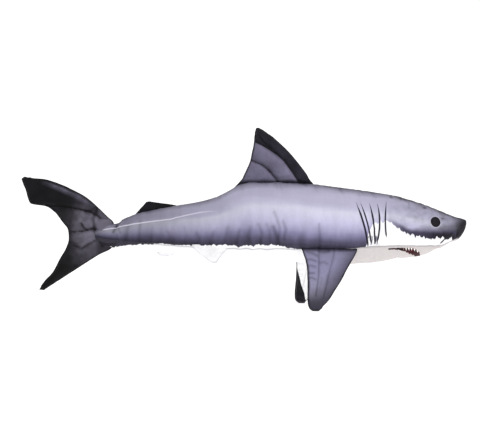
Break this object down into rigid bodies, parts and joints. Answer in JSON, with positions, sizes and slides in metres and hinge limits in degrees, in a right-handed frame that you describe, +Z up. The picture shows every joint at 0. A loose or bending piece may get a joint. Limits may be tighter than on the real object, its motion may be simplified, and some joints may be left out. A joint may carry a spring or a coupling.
{
  "type": "plush shark",
  "caption": "Stuffed fabric shark with printed side panels, a pale belly panel and padded quilted fins that fold at their seams; it stands on the tips of its pectoral fins and tail.",
  "frame": {"origin": "on the floor under the middle of the bounding box", "axes": "+X towards the snout, +Y to the shark's left, +Z up"},
  "size_m": [1.2084, 0.2336, 0.4739],
  "materials": {
    "dusk_print": "smooth satiny polyester, printed lavender grey, darker along the back",
    "slate_print": "smooth satiny polyester, printed slate grey with a charcoal front edge",
    "ink_print": "smooth satiny polyester, printed near black with a purple tint",
    "chalk_cloth": "smooth white polyester",
    "fibre_filling": "white polyester fibre, out of sight"
  },
  "bodies": {
    "trunk": {"trunk_filling": "fibre_filling", "trunk_panel_right": "dusk_print", "trunk_panel_left": "dusk_print", "trunk_belly_panel": "chalk_cloth"},
    "tail_stock": {"tail_filling": "fibre_filling", "tail_panel_right": "dusk_print", "tail_panel_left": "dusk_print", "tail_belly_panel": "chalk_cloth"},
    "tail_fin": {"tail_fin_right_face": "ink_print", "tail_fin_left_face": "ink_print", "tail_fin_filling": "fibre_filling"},
    "dorsal_fin": {"dorsal_fin_right_face": "slate_print", "dorsal_fin_left_face": "slate_print", "dorsal_fin_filling": "fibre_filling"},
    "second_dorsal_fin": {"second_dorsal_fin_right_face": "ink_print", "second_dorsal_fin_left_face": "ink_print"},
    "anal_fin": {"anal_fin_right_face": "chalk_cloth", "anal_fin_left_face": "chalk_cloth"},
    "pectoral_fin_right": {"pectoral_fin_right_outer_face": "dusk_print", "pectoral_fin_right_inner_face": "chalk_cloth", "pectoral_fin_right_filling": "fibre_filling"},
    "pelvic_fin_right": {"pelvic_fin_right_outer_face": "chalk_cloth", "pelvic_fin_right_inner_face": "chalk_cloth"},
    "pectoral_fin_left": {"pectoral_fin_left_outer_face": "dusk_print", "pectoral_fin_left_inner_face": "chalk_cloth", "pectoral_fin_left_filling": "fibre_filling"},
    "pelvic_fin_left": {"pelvic_fin_left_outer_face": "chalk_cloth", "pelvic_fin_left_inner_face": "chalk_cloth"}
  },
  "joints": [
    {"name": "body_bend", "type": "hinge", "parent": "trunk", "child": "tail_stock", "pos_m": [-0.18379, 0, 0.18685], "axis": [-0.0673, 0, 0.9977], "range_deg": [-25, 25], "stiffness_Nm_per_rad": 4},
    {"name": "tail_fin_swing", "type": "hinge", "parent": "tail_stock", "child": "tail_fin", "pos_m": [-0.35938, 0, 0.15997], "axis": [-0.0673, 0, 0.9977], "range_deg": [-40, 40], "stiffness_Nm_per_rad": 1.2},
    {"name": "dorsal_fin_fold", "type": "hinge", "parent": "trunk", "child": "dorsal_fin", "pos_m": [0.0719, 0, 0.33388], "axis": [0.9977, 0, 0.0673], "range_deg": [-35, 35], "stiffness_Nm_per_rad": 0.6},
    {"name": "second_dorsal_fin_fold", "type": "hinge", "parent": "tail_stock", "child": "second_dorsal_fin", "pos_m": [-0.24473, 0, 0.24337], "axis": [0.9646, 0, 0.2638], "range_deg": [-50, 50], "stiffness_Nm_per_rad": 0.05},
    {"name": "anal_fin_fold", "type": "hinge", "parent": "tail_stock", "child": "anal_fin", "pos_m": [-0.21239, 0, 0.12052], "axis": [1, 0, -0.0055], "range_deg": [-50, 50], "stiffness_Nm_per_rad": 0.03},
    {"name": "pectoral_fin_right_flap", "type": "hinge", "parent": "trunk", "child": "pectoral_fin_right", "pos_m": [0.21422, -0.076, 0.15555], "axis": [-0.9977, 0, -0.0673], "range_deg": [-10, 45], "stiffness_Nm_per_rad": 8, "springref_deg": -1.15},
    {"name": "pectoral_fin_left_flap", "type": "hinge", "parent": "trunk", "child": "pectoral_fin_left", "pos_m": [0.21422, 0.076, 0.15555], "axis": [0.9977, 0, 0.0673], "range_deg": [-10, 45], "stiffness_Nm_per_rad": 8, "springref_deg": -1.15},
    {"name": "pelvic_fin_right_fold", "type": "hinge", "parent": "trunk", "child": "pelvic_fin_right", "pos_m": [-0.09946, -0.05433, 0.14014], "axis": [-0.9893, 0.1431, -0.027], "range_deg": [-25, 40], "stiffness_Nm_per_rad": 0.08},
    {"name": "pelvic_fin_left_fold", "type": "hinge", "parent": "trunk", "child": "pelvic_fin_left", "pos_m": [-0.09946, 0.05433, 0.14014], "axis": [0.9893, 0.1431, 0.027], "range_deg": [-25, 40], "stiffness_Nm_per_rad": 0.08}
  ]
}
